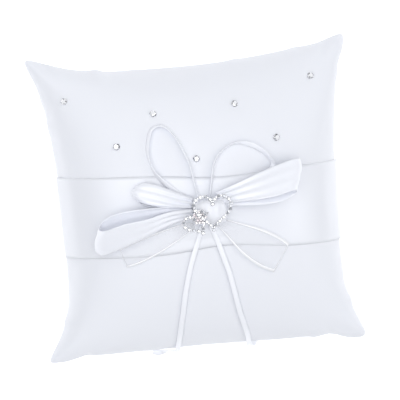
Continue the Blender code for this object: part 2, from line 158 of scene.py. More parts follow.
def mesh_piece(name, points, faces, material, weave=None):
    """A piece from arrays of points and faces, with the cloth's own place in metres as its UV map."""
    mesh = bpy.data.meshes.new(name)
    mesh.from_pydata(points.tolist(), [], faces.tolist())
    mesh.polygons.foreach_set("use_smooth", np.ones(len(mesh.polygons), bool))
    if weave is not None:
        layer = mesh.uv_layers.new(name="weave")
        corner = np.empty(len(mesh.loops), np.int32)
        mesh.loops.foreach_get("vertex_index", corner)
        layer.data.foreach_set("uv", weave[corner].astype(np.float32).ravel())
    mesh.materials.append(material)
    mesh.update()
    piece = bpy.data.objects.new(name, mesh)
    bpy.context.scene.collection.objects.link(piece)
    return piece


def unit(vectors):
    """Each vector over its own length."""
    return vectors / np.maximum(np.linalg.norm(vectors, axis=-1, keepdims=True), 1e-12)


def pull(share, depth, power, lean, corner):
    """How far a side is drawn in at a share of the way along it.

    Its depth times one less a power of the share, more towards one end, less what its corner stands out.
    """
    return depth * (1 - np.abs(share) ** power) * (1 - lean * share) - corner * (1 + share) / 2


def side_pull(u, v):
    """How far the left or the right side is drawn in at share v."""
    return np.where(u < 0, pull(v, *LEFT_PULL), pull(v, *RIGHT_PULL))


def end_pull(u, v):
    """How far the top or the bottom side is drawn in at share u."""
    return np.where(v > 0, pull(u, *TOP_PULL), pull(u, *BOTTOM_PULL))


def outline(u, v):
    """Plan place for shares u and v: each half size less the side's pull there, times the share."""
    return u * (HALF_WIDTH - side_pull(u, v)), v * (HALF_LENGTH - end_pull(u, v))


def crown(u, v):
    """Share of the full crown: the square root of (1 - u squared)(1 - v squared)."""
    return np.sqrt(np.clip((1 - u**2) * (1 - v**2), 0, 1))


# Wrinkles that run in from the seam: u and v of the start, which way they run in degrees, length and
# half width in mm, and height in mm
WRINKLES = (
    (-0.97, 0.96, -42, 26, 2.4, 2.2), (-0.90, 0.99, -60, 20, 2.2, -1.6), (-0.99, 0.84, -22, 18, 2.2, -1.4),
    (-0.57, 0.99, -80, 15, 2.8, 1.6), (-0.49, 0.99, -98, 13, 2.4, -1.4), (0.96, 0.97, -130, 24, 2.4, 2.0),
    (0.99, 0.83, -162, 18, 2.4, -1.4), (0.88, 0.99, -112, 16, 2.2, -1.2), (0.97, -0.95, 138, 26, 2.6, 2.2),
    (0.99, -0.74, 166, 18, 2.6, 1.6), (0.99, -0.62, 174, 15, 2.4, -1.2), (0.80, -0.99, 108, 18, 2.6, -1.6),
    (0.68, -0.99, 96, 13, 2.6, 1.2), (-0.97, -0.96, 44, 28, 2.6, 2.2), (-0.99, -0.72, 12, 17, 2.4, 1.4),
    (-0.78, -0.99, 72, 17, 2.4, -1.4), (0.30, 0.99, -88, 12, 2.6, 1.0), (-0.99, 0.55, -12, 13, 2.4, 1.0),
    (-0.35, -0.99, 86, 12, 2.8, 1.0),
)


def wrinkles(u, v):
    """Height of the wrinkles: each falls off along its run and as a bell curve across it."""
    height = 0 * u
    for start_u, start_v, way, reach, half, rise in WRINKLES:
        ahead, aside = math.cos(math.radians(way)), math.sin(math.radians(way))
        x, y = (u - start_u) * HALF_WIDTH / MM, (v - start_v) * HALF_LENGTH / MM
        along, across = x * ahead + y * aside, y * ahead - x * aside
        run = np.clip(1 - np.abs(along) / reach, 0, 1) ** 2
        wide = half * (1 + np.maximum(along, 0) / reach)
        height = height + rise * MM * run * np.exp(-(across / wide) ** 2)
    return height


# A turned corner: the share its tip is drawn back by, how far the sides beside it stand out, and the powers
# of the shares that keep both close to the corner
TIP_BACK = 0.006
EAR_OUT = 0.0009
TIP_POWER = 16
BESIDE_POWER = 10


def blunt(u, v):
    """The outline with each corner's tip drawn back, and the sides beside it pushed out.

    A high power of the two shares picks out the tip. A power of one share times one less that power picks out
    the stretch beside it.
    """
    x, y = outline(u, v)
    tip = np.abs(u * v) ** TIP_POWER
    far_u, far_v = np.abs(u) ** BESIDE_POWER, np.abs(v) ** BESIDE_POWER
    beside_x, beside_y = far_v * (1 - far_v), far_u * (1 - far_u)
    x = x * (1 - TIP_BACK * tip) + np.sign(u) * far_u * beside_x * 4 * EAR_OUT
    y = y * (1 - TIP_BACK * tip) + np.sign(v) * far_v * beside_y * 4 * EAR_OUT
    return x, y


def front_face(u, v):
    """Front of the cover for shares u and v: the seam's level plus the rise times the crown."""
    return np.stack([*blunt(u, v), SEAM_LEVEL + FRONT_RISE * crown(u, v)], axis=-1)


def back_face(u, v):
    """Back of the cover: the seam's level times one less the fuller crown, and flat where that reaches one."""
    fall = 1 - np.minimum(1, BACK_FULLNESS * crown(u, v))
    return np.stack([*blunt(u, v), SEAM_LEVEL * fall], axis=-1)


# ------------------------------------------------------------------ cushion

CUSHION_STEPS = 72
CUT_WIDTH = 0.206
CUT_LENGTH = 0.202
SIM_FRAMES = 20
FOLD_CAP = 0.0045
FOLD_REACH = 7


def blur(values, reach):
    """Two passes of a running mean of 2 reach + 1 places along each way of the grid, edges held."""
    for axis in (0, 1, 0, 1):
        padded = np.concatenate([
            np.repeat(np.take(values, [0], axis), reach, axis), values,
            np.repeat(np.take(values, [-1], axis), reach, axis),
        ], axis)
        total = np.cumsum(padded, axis)
        total = np.concatenate([0 * np.take(total, [0], axis), total], axis)
        size = values.shape[axis]
        ahead = np.take(total, range(2 * reach + 1, 2 * reach + 1 + size), axis)
        values = (ahead - np.take(total, range(size), axis)) / (2 * reach + 1)
    return values


def inflate(points, flat, faces):
    """Where cloth cut to the flat shape comes to rest when it is blown up from these points."""
    mesh = bpy.data.meshes.new("swelling")
    mesh.from_pydata(points.tolist(), [], faces.tolist())
    trial = bpy.data.objects.new("swelling", mesh)
    scene = bpy.context.scene
    scene.collection.objects.link(trial)
    trial.shape_key_add(name="shape")
    cut = trial.shape_key_add(name="cut")
    cut.data.foreach_set("co", flat.astype(np.float32).ravel())
    cut.value = 0
    cloth = trial.modifiers.new("cloth", "CLOTH")
    settings = cloth.settings
    settings.quality = 6
    settings.mass = 0.2
    settings.tension_stiffness = settings.compression_stiffness = 15
    settings.shear_stiffness = 5
    settings.bending_stiffness = 0.5
    settings.air_damping = 2
    settings.use_pressure = True
    settings.uniform_pressure_force = 4
    settings.effector_weights.gravity = 0
    settings.rest_shape_key = cut
    cloth.collision_settings.use_collision = False
    cloth.point_cache.frame_start = 1
    cloth.point_cache.frame_end = SIM_FRAMES
    for step in range(1, SIM_FRAMES + 1):
        scene.frame_set(step)
    moved = trial.evaluated_get(bpy.context.evaluated_depsgraph_get()).data
    found = np.empty(len(points) * 3, np.float32)
    moved.vertices.foreach_get("co", found)
    scene.frame_set(1)
    bpy.data.objects.remove(trial)
    return found.reshape(-1, 3).astype(float)


def cushion_points(size):
    """Front and back grids of the filled cover, and the flat cut that each is sewn from.

    The steps are closer near the seam, by the sine of even steps. Both grids share their rim.
    """
    step = np.linspace(-1, 1, size + 1)
    a, b = np.meshgrid(step, step, indexing="ij")
    u, v = np.sin(a * np.pi / 2), np.sin(b * np.pi / 2)
    front, back = front_face(u, v), back_face(u, v)
    back[[0, -1]] = front[[0, -1]]
    back[:, [0, -1]] = front[:, [0, -1]]
    flat = np.stack([a * CUT_WIDTH / 2, b * CUT_LENGTH / 2, 0 * a], axis=-1)
    return front, back, flat


def cushion_index(size):
    """Vertex numbers of both grids, which share their rim."""
    front = np.arange((size + 1) ** 2).reshape(size + 1, size + 1)
    back = front.copy()
    back[1:-1, 1:-1] = (size + 1) ** 2 + np.arange((size - 1) ** 2).reshape(size - 1, size - 1)
    return front, back


def joined(front, back):
    """One list of both grids' points, the rim once, in the order of cushion_index."""
    return np.concatenate([front.reshape(-1, front.shape[-1]), back[1:-1, 1:-1].reshape(-1, back.shape[-1])])


def make_cushion():
    """The closed cushion: both faces, the finer folds of the blown-up cloth, capped, and then the wrinkles.

    The folds fade by the fourth power of the share, away from the seam. The wrinkles lie along the way each
    face looks, and nothing goes below what the pillow lies on.
    """
    size = CUSHION_STEPS
    front, back, flat = cushion_points(size)
    front_index, back_index = cushion_index(size)
    faces = np.concatenate([grid_faces(front_index), grid_faces(back_index)[:, ::-1]])
    folds = np.zeros_like(front), np.zeros_like(back)
    blown = inflate(joined(front, back), joined(flat, flat), faces)
    folds = []
    for shape, index in ((front, front_index), (back, back_index)):
        change = blown[index] - shape
        change = change - blur(change, FOLD_REACH)
        length = np.linalg.norm(change, axis=-1, keepdims=True)
        folds.append(change * np.minimum(1, FOLD_CAP / np.maximum(length, 1e-9)))
    step = np.abs(np.linspace(-1, 1, size + 1))
    near_seam = np.maximum(step[:, None], step) ** 4
    for grid in folds:
        grid *= near_seam[..., None]
    rim = (folds[0] + folds[1]) / 2
    for grid in folds:
        grid[[0, -1]] = rim[[0, -1]]
        grid[:, [0, -1]] = rim[:, [0, -1]]
    front, back = front + folds[0], back + folds[1]
    step = np.sin(np.linspace(-1, 1, size + 1) * np.pi / 2)
    u, v = np.meshgrid(step, step, indexing="ij")
    outward = unit(np.stack([u**7, v**7, crown(u, v) + 0.05], axis=-1))
    front = front + outward * wrinkles(u, v)[..., None]
    back = back + outward * (1, 1, -1) * (wrinkles(u, -v) * 0.8)[..., None]
    back[..., 2] = np.maximum(back[..., 2], 0)
    piece = mesh_piece("cushion_cover", joined(front, back), faces, cover_satin, joined(flat, flat)[:, :2])
    smooth = piece.modifiers.new("smooth", "SUBSURF")
    smooth.levels = smooth.render_levels = 1
    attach(piece, "pillow")
    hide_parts("front_panel", "back_panel", "filling", "seam_thread")
    return folds[0][..., 2]


fold_heights = make_cushion()


# ------------------------------------------------------------------ laying ribbon on the cover

SHARE_ROUNDS = 30


def shares(x, y):
    """Shares u and v of a plan place: x and y over the half sizes there, repeated until they settle."""
    u, v = x / HALF_WIDTH, y / HALF_LENGTH
    for _ in range(SHARE_ROUNDS):
        u, v = (
            np.clip(x / (HALF_WIDTH - side_pull(u, v)), -1, 1),
            np.clip(y / (HALF_LENGTH - end_pull(u, v)), -1, 1),
        )
    return u, v


def fold_height(u, v):
    """Height of the cover's folds above its plain crown, between the four nearest grid points."""
    size = CUSHION_STEPS
    at = (np.arcsin(np.stack([u, v])) * 2 / np.pi + 1) / 2 * size
    low = np.clip(at.astype(int), 0, size - 1)
    part = at - low
    near = fold_heights[low[0], low[1]] * (1 - part[0]) + fold_heights[low[0] + 1, low[1]] * part[0]
    far = fold_heights[low[0], low[1] + 1] * (1 - part[0]) + fold_heights[low[0] + 1, low[1] + 1] * part[0]
    return near * (1 - part[1]) + far * part[1]


def face_height(x, y):
    """Height of the cover's front at a plan place."""
    u, v = shares(x, y)
    return SEAM_LEVEL + FRONT_RISE * crown(u, v) + wrinkles(u, v) + fold_height(u, v)


def through(stations, spans):
    """Points on the Catmull-Rom curve through the stations, the same number on each span."""
    known = np.array(stations, float)
    padded = np.vstack([2 * known[0] - known[1], known, 2 * known[-1] - known[-2]])
    at = np.linspace(0, len(known) - 1, spans * (len(known) - 1) + 1)
    span = np.minimum(at.astype(int), len(known) - 2)
    t = (at - span)[:, None]
    before, start, stop, after = (padded[span + k] for k in range(4))
    return 0.5 * (
        2 * start + (stop - before) * t + (2 * before - 5 * start + 4 * stop - after) * t**2
        + (3 * start - before - 3 * stop + after) * t**3
    )


def run_length(points):
    """Distance from the first point along the line through them."""
    steps = np.linalg.norm(np.diff(points, axis=0), axis=1)
    return np.concatenate([[0], np.cumsum(steps)])


def ribbon_piece(name, points, material, thickness):
    """A ribbon from its grid of points (along, across), with its cut size as the weave's place."""
    along = run_length(points[:, points.shape[1] // 2])
    across = run_length(points[len(points) // 3])
    weave = np.stack(np.meshgrid(along, across, indexing="ij"), axis=-1)
    index = np.arange(points.shape[0] * points.shape[1]).reshape(points.shape[:2])
    piece = mesh_piece(name, points.reshape(-1, 3), grid_faces(index), material, weave.reshape(-1, 2))
    edge = np.abs(np.linspace(-1, 1, points.shape[1]))
    layer = piece.data.attributes.new("edge", "FLOAT", "POINT")
    layer.data.foreach_set("value", np.tile(edge, len(points)).astype(np.float32))
    wall = piece.modifiers.new("thickness", "SOLIDIFY")
    wall.thickness = thickness
    wall.offset = 0
    return piece


ON_COVER = 0.0004
ON_SASH = 0.0010


def strip_points(centre, across, half_width, rows, pleat=None, clearance=None):
    """A sheet along a path: centre plus across times half width, and waves out of the sheet for its pleats.

    pleat holds a height for each point of the path, the number of waves across and their phase.
    """
    b = np.linspace(-1, 1, rows + 1)
    points = centre[:, None] + across[:, None] * (half_width[:, None] * b)[..., None]
    if pleat is not None:
        height, waves, phase = pleat
        out = unit(np.cross(np.gradient(centre, axis=0), across))
        wave = height[:, None] * np.cos(np.pi * waves * b + phase)
        points = points + out[:, None] * wave[..., None]
    if clearance is not None:
        floor = face_height(points[..., 0], points[..., 1]) + clearance
        points[..., 2] = np.maximum(points[..., 2], floor)
    return points


def laid_path(stations, spans):
    """Centre and across of a ribbon over the face, from x, y, lift, half width and lean at its stations."""
    x, y, lift, half_width, lean = (through(stations, spans) * (MM, MM, MM, MM, math.radians(1))).T
    centre = np.stack([x, y, face_height(x, y) + lift], axis=-1)
    ahead = np.gradient(centre, axis=0)
    side = unit(np.stack([-ahead[:, 1], ahead[:, 0], 0 * x], axis=-1))
    across = side * np.cos(lean)[:, None] + np.array([0, 0, 1]) * np.sin(lean)[:, None]
    return centre, across, half_width


# ------------------------------------------------------------------ narrow ribbon: ring ribbons and ears

NARROW_WIDTH = 0.0032
NARROW_THICKNESS = 0.0003
RING_LIFT = 0.0013
RING_START_Y = -0.0126
SEAM_HEIGHT_OF_FALL = 0.0365
CUPPING = 0.00012
# Ring ribbons: x in mm and the share of the way from the knot to the lower seam. Then past the seam: x and
# distance out from it in mm, share of the seam's height, and how far the ribbon faces outwards in degrees
RING_LEFT = (
    (-2.6, 0), (-5.6, 0.11), (-9.2, 0.23), (-12.4, 0.36), (-15, 0.50), (-17, 0.65), (-19, 0.81), (-20, 0.92),
)
RING_LEFT_FALL = (
    (-20.8, 0.6, 1.18, 60), (-21.4, 2.2, 0.98, 85), (-22, 3.2, 0.69, 90), (-22.6, 4.2, 0.41, 85),
    (-23.6, 5.6, 0.19, 60), (-26, 7.2, 0.07, 25), (-29.4, 7.6, 0.04, 0), (-32.6, 6.4, 0.033, 0),
)
RING_RIGHT = (
    (2.6, 0), (6, 0.12), (9.4, 0.26), (12.4, 0.39), (15, 0.54), (17.6, 0.69), (21, 0.83), (23.2, 0.92),
)
RING_RIGHT_FALL = (
    (24.6, 0.6, 1.18, 60), (26, 2.2, 0.98, 85), (27.2, 2.8, 0.69, 90), (28.2, 3.2, 0.41, 85),
    (29.4, 4.2, 0.19, 60), (31.4, 5.8, 0.066, 25), (34.2, 7, 0.038, 0),
)
# Ears: x, y, lift and half width in mm, and how far the ribbon leans on its edge in degrees
EAR_LEFT = (
    (-3.2, 4.6, 3.4, 1.6, 66), (-5.1, 12.8, 3.2, 1.6, 66), (-7, 25, 2.6, 1.6, 66),
    (-10.4, 34.3, 2.3, 1.6, 66), (-14.4, 42.4, 2.3, 1.6, 80), (-19.1, 48.3, 2.3, 1.6, 70),
    (-24, 49.7, 2.3, 1.6, 75), (-28.9, 46.6, 2.3, 1.6, 64), (-31.8, 36, 2.3, 1.6, 66),
    (-30.6, 27, 2.4, 1.6, 80), (-26.5, 19, 2.2, 1.6, 50), (-18, 10.5, 1.5, 1.6, 10),
    (-7.6, 2.6, 1.4, 1.6, 0),
)
EAR_RIGHT = (
    (3.2, 4.6, 3.4, 1.6, 66), (4.9, 12.4, 3.2, 1.6, 66), (6.4, 20.2, 2.7, 1.6, 66),
    (8.4, 25.9, 2.4, 1.6, 66), (11.8, 30.3, 2.3, 1.6, 64), (16.8, 33.9, 2.3, 1.6, 75),
    (23.2, 35.6, 2.2, 1.6, 60), (30.4, 34.2, 2.0, 1.6, 30), (37.6, 30, 2.1, 1.6, 40),
    (43, 24, 2.2, 1.6, 60), (43.4, 18.2, 1.4, 1.6, 8), (31, 9, 1.4, 1.6, 0),
    (18, 3.6, 1.4, 1.6, 0), (7.6, -1, 1.4, 1.6, 0),
)


def lower_seam(x):
    """How far towards the lower edge the seam lies at this x: its share v is minus one."""
    return outline(x / HALF_WIDTH, -1.0 + 0 * x)[1]


def ring_ribbon(name, stations, fall, node):
    """A narrow ribbon down the face, over the lower seam and onto what the pillow lies on."""
    x, share = np.array(stations).T
    x = x * MM
    y = RING_START_Y + share * (lower_seam(x) - RING_START_Y)
    on_face = np.stack([x, y, face_height(x, y) + RING_LIFT, 0 * x], axis=-1)
    x, out, share, facing = np.array(fall).T
    x = x * MM
    height = share * SEAM_HEIGHT_OF_FALL
    hanging = np.stack([x, lower_seam(x) - out * MM, height, np.radians(facing)], axis=-1)
    path = through(np.vstack([on_face, hanging]), 8)
    centre = path[:, :3]
    outward = np.stack([0 * centre[:, 0], -np.sin(path[:, 3]), np.cos(path[:, 3])], axis=-1)
    across = unit(np.cross(outward, np.gradient(centre, axis=0)))
    half = np.full(len(centre), NARROW_WIDTH / 2)
    cup = np.full(len(centre), CUPPING), 1.0, 0.0
    points = strip_points(centre, across, half, 6, cup)
    piece = ribbon_piece(name, points, ribbon_satin, NARROW_THICKNESS)
    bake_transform(piece)
    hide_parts(node)


def ribbon_ear(name, stations, node):
    """A standing loop of narrow ribbon that leaves the knot and goes back into it."""
    centre, across, half = laid_path(stations, 10)
    points = strip_points(centre, across, half, 4, clearance=ON_COVER)
    piece = ribbon_piece(name, points, ribbon_satin, NARROW_THICKNESS)
    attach(piece, "pillow")
    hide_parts(node)


ribbon_satin = satin("satin_ribbon_narrow", "#f7f9ff", 0.38, 0.08, 0.1, 0.4 * MM, 0.008 * MM)
ring_ribbon("ring_tie_left", RING_LEFT, RING_LEFT_FALL, "ring_ribbon_left")
ring_ribbon("ring_tie_right", RING_RIGHT, RING_RIGHT_FALL, "ring_ribbon_right")
ribbon_ear("ear_loop_left", EAR_LEFT, "ribbon_ear_left")
ribbon_ear("ear_loop_right", EAR_RIGHT, "ribbon_ear_right")

# ------------------------------------------------------------------ sash

SASH_HALF = 0.025
SASH_MIDDLE_Y = -0.0055
SASH_SLANT = -0.022
SASH_REACH = 0.995
SASH_THICKNESS = 0.0002
SASH_HALF_LENGTH = 0.087
# Where the bow draws the sash in: its middle, its reach, and how much at the lower and the upper edge
PINCH_X = 0.012
PINCH_REACH = 0.030
PINCH_LOWER = 0.0045
PINCH_UPPER = 0.003
# Gathers beside the knot, and how far the sash lies off the cover at its edges and more in its middle
GATHER_REACH = 0.022
GATHER_HEIGHT = 0.0006
GATHER_WAVES = 11
SASH_EDGE_LIFT = 0.00008
SASH_MIDDLE_LIFT = 0.0003


def sash_points(columns, rows):
    """Sash grid: a band across the front, slightly slanted, drawn in towards the knot.

    Its middle line falls by its slant times x, and the band narrows by a bell curve about the knot.
    """
    u = np.sin(np.linspace(-1, 1, columns + 1) * np.pi / 2) * SASH_REACH
    b = np.linspace(-1, 1, rows + 1)
    u, b = np.meshgrid(u, b, indexing="ij")
    x = u * SASH_HALF_LENGTH
    pinch = np.exp(-((x - PINCH_X) / PINCH_REACH) ** 2)
    middle = SASH_MIDDLE_Y + SASH_SLANT * x
    y = middle + b * (SASH_HALF - pinch * np.where(b < 0, PINCH_LOWER, PINCH_UPPER))
    v = y / (HALF_LENGTH - end_pull(u, y))
    points = front_face(u, v)
    points[..., 2] += fold_height(u, v) + wrinkles(u, v)
    normal = unit(np.cross(np.gradient(points, axis=0), np.gradient(points, axis=1)))
    gather = np.exp(-(x / GATHER_REACH) ** 2) * GATHER_HEIGHT * np.cos(b * GATHER_WAVES)
    ease = np.clip((1 - np.abs(u)) / 0.02, 0, 1)
    lift = SASH_EDGE_LIFT + SASH_MIDDLE_LIFT * (1 - b**8) + np.abs(gather) * ease
    return points + normal * lift[..., None]


def make_sash():
    """The sash as one stretched sheet."""
    points = sash_points(120, 24)
    piece = ribbon_piece("sash_band", points, sash_satin, SASH_THICKNESS)
    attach(piece, "pillow")
    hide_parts("sash")


make_sash()

# ------------------------------------------------------------------ bow

# Loops: reach along the heading, rise of the band above its lower run, half width, drift to the side, and
# how far forward of square the axis is swept
LOWER_SATIN = (
    (0, 0, 3.6, -1.8, 0), (12, 0, 6.2, -3.8, 0), (26, 0, 8.2, -4.9, 0.05), (40, 0, 9.4, -5.6, 0.1),
    (52, 0.8, 10, -5, 0.2), (59.5, 4.2, 10, -3.8, 0.3), (61.5, 8.2, 10, -3.4, 0.3),
    (56, 11, 10, -4.4, 0.25), (43, 11, 9.2, -6.0, 0.1), (29, 9.4, 7.0, -5.8, 0.05), (14, 5.4, 5.4, -4.6, 0),
    (0, 3, 3.4, -2.2, 0),
)
ORGANZA_LEFT = (
    (-7.6, -11.6, 1.5, 1.8, 0), (-18, -15.6, 1.6, 4.4, 0), (-32, -21.4, 1.8, 6.4, 0),
    (-43, -26, 1.6, 6.8, 0), (-51.5, -29, 1.2, 6.2, 0),
)
ORGANZA_RIGHT = (
    (7.6, -10.4, 1.4, 2.4, 0), (17, -17.5, 1.8, 6, 0), (27, -25, 2.2, 9.6, 0),
    (37, -32, 1.8, 11, 0), (45.5, -37.6, 1.2, 10, 0),
)
RIGHT_SATIN = (
    (0, 0, 4.0, 0, 0), (12, 0, 6.2, -1.2, 0.05), (26, 0, 8.8, -2.2, 0.1), (38, 0.2, 10.2, -2.8, 0.2),
    (47, 1.6, 10.4, -2.6, 0.4), (52.5, 4.6, 10.2, -2.6, 0.5), (53, 7.8, 10.2, -2.8, 0.55),
    (48, 9.8, 10.2, -3, 0.5), (38, 9.4, 10, -3, 0.25), (25, 7.8, 8.4, -2.6, 0.1),
    (12, 5.4, 6.0, -1.6, 0.05), (0, 3, 4.0, -0.4, 0),
)
UPPER_SATIN = (
    (0, 0, 3.6, 1.0, 0), (10, 0, 5.6, 1.2, 0), (22, 0, 6.8, 0.6, 0), (32, 0.4, 6.8, 0, 0),
    (36.6, 2.4, 6.2, 0, 0), (34, 4.6, 6.2, 0, 0), (23, 5, 6.4, 0.4, 0), (11, 3.6, 5.4, 1.2, 0),
    (0, 2.4, 3.6, 1.0, 0),
)
SATIN_THICKNESS = 0.0003
# Each loop: its piece and solid, stations, start beside the knot in mm, heading and lean in degrees, how far
# its far corners curl in, and the width of its ribbon laid flat
LOOPS = (
    ("satin_loop_lower", "satin_loop_lower_left", LOWER_SATIN, (-7.7, -4.6), 191, -38, 0.0035, 0.020),
    ("satin_loop_east", "satin_loop_right", RIGHT_SATIN, (7.7, 2.4), 11, -33, 0.0030, 0.021),
    ("satin_loop_upper", "satin_loop_upper_left", UPPER_SATIN, (-7.7, 2.6), 166, 12, 0.0060, 0.014),
)
CURL_REACH = 0.016
PLEAT_HEIGHT = 0.0007
PLEAT_REACH = 0.024
PLEAT_EVERYWHERE = 0.15
PLEAT_WAVES = 3.0


def near_knot(centre, reach):
    """One at either end of the path, falling off over this reach as a bell curve."""
    along = run_length(centre)
    nearest = np.minimum(along, along[-1] - along)
    return np.exp(-(nearest / reach) ** 2)


def satin_piece(name, points, node):
    """One satin loop from its grid of points, with its flat size."""
    piece = ribbon_piece(name, points, bow_satin, SATIN_THICKNESS)
    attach(piece, "pillow")
    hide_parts(node)


def leaning_loop(stations, start, heading, lean):
    """A loop whose axis leans up out of the face: out from the knot, round its end and back above itself.

    Each centre is the start, plus reach times the heading, plus drift less rise times the sine of the lean to
    the side, at the cover's height plus rise times the cosine of the lean plus what the lower edge needs.
    """
    reach, rise, half_width, drift, sweep = (through(stations, 10) * (MM, MM, MM, MM, 1)).T
    ahead = np.array([math.cos(heading), math.sin(heading), 0])
    aside = np.array([-math.sin(heading), math.cos(heading), 0])
    aside_by = drift - rise * math.sin(lean)
    x = start[0] * MM + reach * ahead[0] + aside_by * aside[0]
    y = start[1] * MM + reach * ahead[1] + aside_by * aside[1]
    lift = rise * math.cos(lean) + half_width * abs(math.sin(lean)) * 0.85 + ON_SASH
    centre = np.stack([x, y, face_height(x, y) + lift], axis=-1)
    axis = aside * math.cos(lean) + np.array([0, 0, 1]) * math.sin(lean)
    across = axis + sweep[:, None] * ahead
    return centre, across, half_width


def rounded_end(points, heading, depth, reach):
    """The same loop with curled corners: near its far end, a point moves back by depth times b squared."""
    away = np.array([math.cos(heading), math.sin(heading), 0])
    out = points @ away
    near = np.clip(1 - (out.max() - out) / reach, 0, 1) ** 2
    b = np.linspace(-1, 1, points.shape[1])
    return points - away * (depth * b**2 * near)[..., None]


bow_satin = satin("satin_ribbon_bow", "#f4f6fd", 0.36, 0.08, 0.12, 0.5 * MM, 0.01 * MM)


def make_bow():
    """Three loops, each with pleats that start at the knot and die away along it, and a rounded end."""
    for name, node, stations, start, heading_degrees, lean_degrees, curl, flat in LOOPS:
        heading, lean = math.radians(heading_degrees), math.radians(lean_degrees)
        centre, across, half = leaning_loop(stations, start, heading, lean)
        height = (PLEAT_EVERYWHERE + near_knot(centre, PLEAT_REACH)) * PLEAT_HEIGHT
        points = strip_points(centre, across, half, 20, (height, PLEAT_WAVES, heading), ON_SASH)
        points = rounded_end(points, heading, curl, CURL_REACH)
        satin_piece(name, points, node)


make_bow()


def sheer(name):
    """Organza: fine crisp net that lets most light through, closer woven at its two edges."""
    material, shader = new_material(
        name, Base_Color=colour("#fbfcff"), Roughness=0.30, Specular_IOR_Level=0.8,
    )
    edge = add(material, "ShaderNodeAttribute", {"attribute_name": "edge"})
    cover = add(material, "ShaderNodeMapRange", Value=edge.outputs["Fac"])
    for socket, value in (("From Min", 0.80), ("From Max", 0.88), ("To Min", 0.14), ("To Max", 0.95)):
        cover.inputs[socket].default_value = value
    material.node_tree.links.new(cover.outputs[0], shader.inputs["Alpha"])
    return material


organza = sheer("organza_ribbon")


def make_organza():
    """Two sheer tails: pleats that die away from the knot, and a bright hem on both sides and the cut end."""
    for name, stations, node, flat in (
        ("organza_end_left", ORGANZA_LEFT, "organza_tail_left", 0.0136),
        ("organza_end_right", ORGANZA_RIGHT, "organza_tail_right", 0.022),
    ):
        centre, across, half = laid_path(stations, 10)
        along = run_length(centre)
        pleat = (0.2 + 0.8 * np.exp(-along / 0.02)) * 0.0006, 4.0, 0.8
        points = strip_points(centre, across, half, 16, pleat, ON_SASH)
        piece = ribbon_piece(name, points, organza, 0.00015)
        hem = np.abs(np.linspace(-1, 1, points.shape[1])) + np.zeros((len(points), 1))
        hem[-1] = 1
        piece.data.attributes["edge"].data.foreach_set("value", hem.astype(np.float32).ravel())
        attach(piece, "pillow")
        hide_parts(node)


make_organza()


def make_knot():
    """The wrap round the middle of the bow: a rounded block with its pleats running over it.

    Each point is the fourth root ball of its direction times the half sizes, swollen by cosine waves across.
    """
    low, high = (np.array(c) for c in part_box("bow_knot"))
    half, middle = (high - low) / 2 * (1.4, 1, 1), (high + low) / 2 + (0.0025, 0, 0)
    turn = np.linspace(0, 2 * np.pi, 97)[:-1]
    side = np.linspace(-1, 1, 33)
    power = 0.5
    around = np.stack([
        np.sign(np.cos(turn)) * np.abs(np.cos(turn)) ** power,
        np.sign(np.sin(turn)) * np.abs(np.sin(turn)) ** power,
    ], axis=-1)
    width = np.sin(side * np.pi / 2)
    full = (1 - width**4) ** 0.25 * 0.93 + 0.03 * np.cos(width * 14)
    full[[0, -1]] = 0
    points = np.empty((len(side), len(turn), 3))
    points[..., 0] = middle[0] + half[0] * width[:, None]
    points[..., 1] = middle[1] + half[1] * full[:, None] * around[:, 0]
    points[..., 2] = middle[2] + half[2] * full[:, None] * around[:, 1]
    index = np.arange(len(side) * len(turn)).reshape(len(side), len(turn))
    index = np.concatenate([index, index[:, :1]], axis=1)
    weave = np.stack([points[..., 1] + points[..., 2], points[..., 0]], axis=-1)
    faces = grid_faces(index)[:, ::-1]
    piece = mesh_piece("knot_wrap", points.reshape(-1, 3), faces, bow_satin, weave.reshape(-1, 2))
    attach(piece, "pillow")
    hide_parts("bow_knot")


make_knot()

# ------------------------------------------------------------------ brooch and stones


def plated(name):
    """Bright rhodium-like plate on cast metal, with faint polishing marks."""
    material, shader = new_material(name, Base_Color=colour("#d6d7da"), Metallic=1.0, Roughness=0.14)
    place = add(material, "ShaderNodeTexCoord")
    marks = add(material, "ShaderNodeTexNoise", Vector=place.outputs["Object"], Scale=1500.0, Detail=2.0)
    rough = add(material, "ShaderNodeMapRange", Value=marks.outputs[0])
    for socket, value in (("To Min", 0.08), ("To Max", 0.26)):
        rough.inputs[socket].default_value = value
    material.node_tree.links.new(rough.outputs[0], shader.inputs["Roughness"])
    return material


def crystal(name, dark, middle, light):
    """Foil-backed cut crystal with painted reflections: each face of a stone is tinted a dark, middling or
    light tone.
    """
    material, shader = new_material(
        name, Metallic=0.55, Roughness=0.05, Specular_IOR_Level=0.6, Coat_Weight=1.0, Coat_Roughness=0.02,
    )
    # Painted reflection: the stored tone for each face picks its base colour, standing in for dark and bright
    # parts of the room.
    painted_reflection_tone = add(material, "ShaderNodeAttribute", {"attribute_name": "painted_reflection_tone"})
    tone = add(material, "ShaderNodeValToRGB", Fac=painted_reflection_tone.outputs["Fac"])
    ramp = tone.color_ramp
    ramp.elements[0].position, ramp.elements[0].color = 0.20, colour(dark)
    ramp.elements[1].position, ramp.elements[1].color = 0.46, colour(light)
    ramp.elements.new(0.30).color = colour(middle)
    material.node_tree.links.new(tone.outputs[0], shader.inputs["Base Color"])
    return material


plate = plated("rhodium_plate")
# Stone colours are painted reflections from dark to light; the rose stones' pink is also their own tone.
cover_gem = crystal("crystal_painted_reflection_deep", "#15171c", "#8f929b", "#f8f9fc")
heart_gem = crystal("crystal_painted_reflection_clear", "#6b6f78", "#b9bcc4", "#f8f9fb")
rose_gem = crystal("crystal_painted_reflection_rose", "#cbbec3", "#e6dadd", "#fbf5f5")
STONE_FACETS = 8


